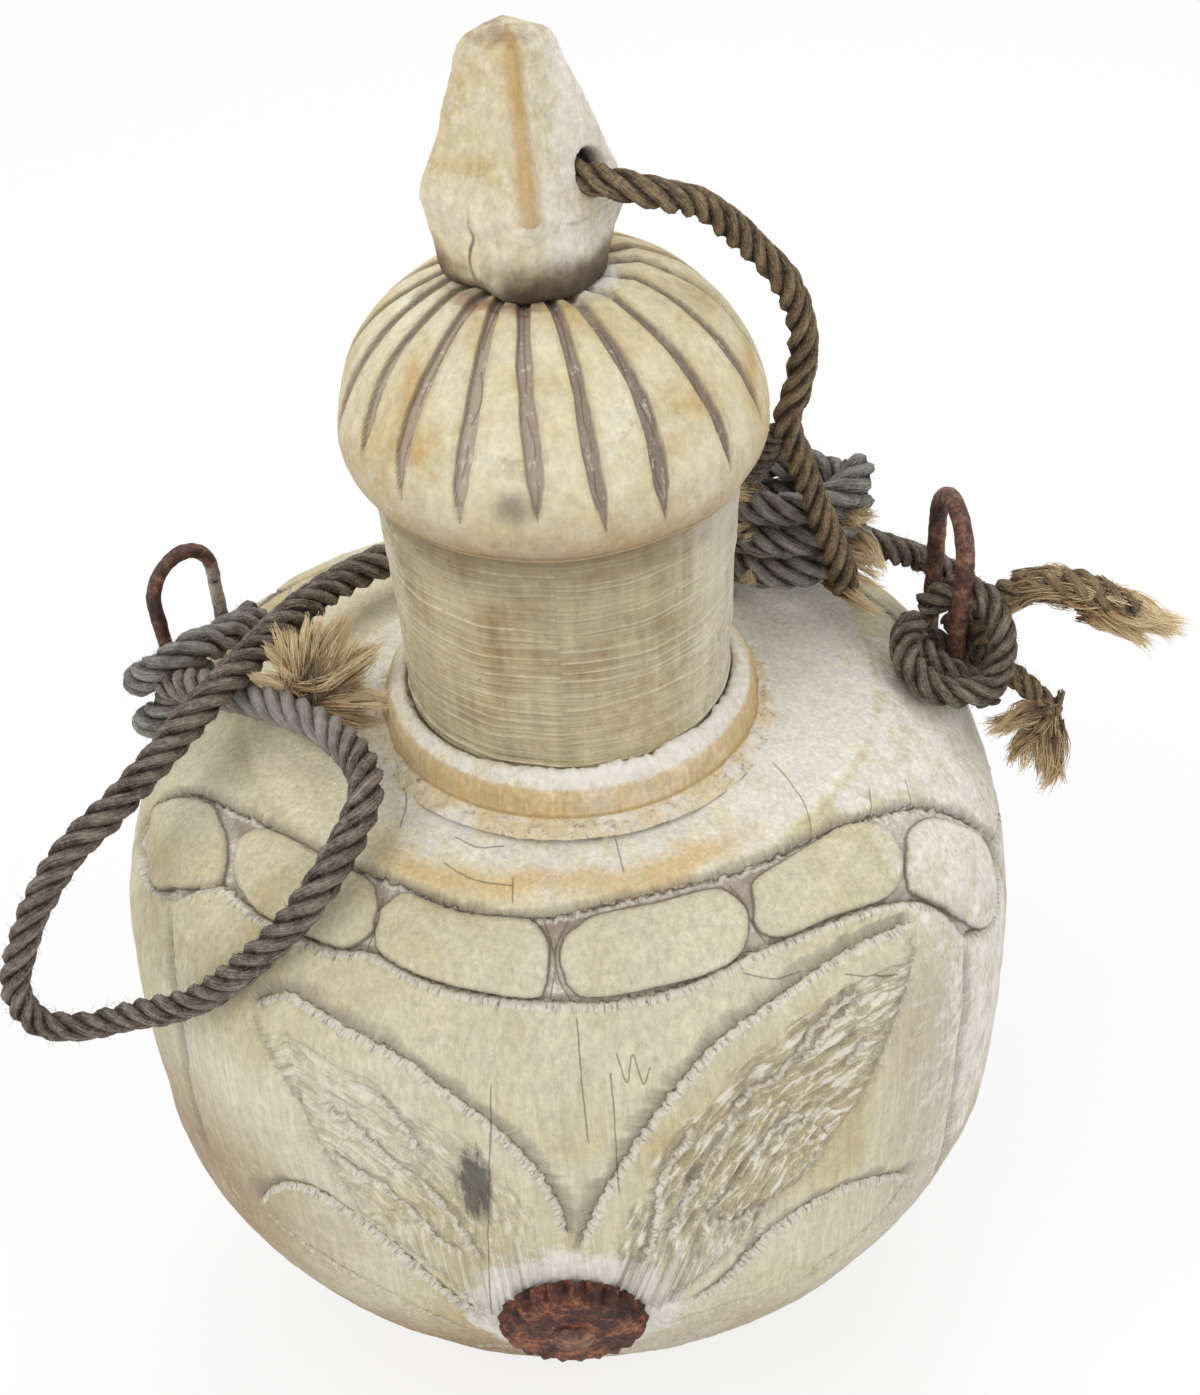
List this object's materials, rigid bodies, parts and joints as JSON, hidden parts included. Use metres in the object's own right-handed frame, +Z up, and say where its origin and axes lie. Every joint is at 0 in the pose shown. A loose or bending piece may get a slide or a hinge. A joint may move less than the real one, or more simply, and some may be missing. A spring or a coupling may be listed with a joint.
{
  "type": "wooden water bottle",
  "caption": "Round-shouldered carved wooden water bottle with a turned neck, a domed stopper tethered by rope, iron staples and a knotted carrying rope.",
  "frame": {"origin": "middle of the flat foot under the body", "axes": "+X right, +Y to the back, +Z up along the neck; the crown cap is on the front, towards -Y"},
  "size_m": [0.261, 0.1916, 0.3545],
  "materials": {
    "limed_wood": "matt, limed, carved with a knife",
    "turned_wood": "matt, turned, with lime in the tool lines",
    "rusted_tin": "brown rust all over",
    "rusted_iron": "brown rust, worn smooth",
    "grey_rope": "weathered laid rope",
    "brown_rope": "dark laid rope",
    "frayed_fibre": "loose bast fibres"
  },
  "bodies": {
    "flask": {"body": "limed_wood", "neck": "turned_wood", "crown_cap": "rusted_tin", "cap_nail": "rusted_iron", "left_staple": "rusted_iron", "right_staple": "rusted_iron", "left_knot": "grey_rope", "neck_knot": "grey_rope", "right_knot": "brown_rope", "carry_rope": "brown_rope", "staple_rope": "brown_rope", "stopper_tether": "brown_rope", "tether_strand": "brown_rope", "long_tail": "brown_rope", "short_tail": "brown_rope", "left_fray": "frayed_fibre", "long_fray": "frayed_fibre", "short_fray": "frayed_fibre"},
    "stopper": {"stopper_dome": "limed_wood", "stopper_finial": "limed_wood"}
  },
  "joints": [
    {"name": "stopper_lift", "type": "slide", "parent": "flask", "child": "stopper", "axis": [0, 0, 1], "range_m": [0, 0.04], "deforming": ["stopper_tether"]}
  ]
}
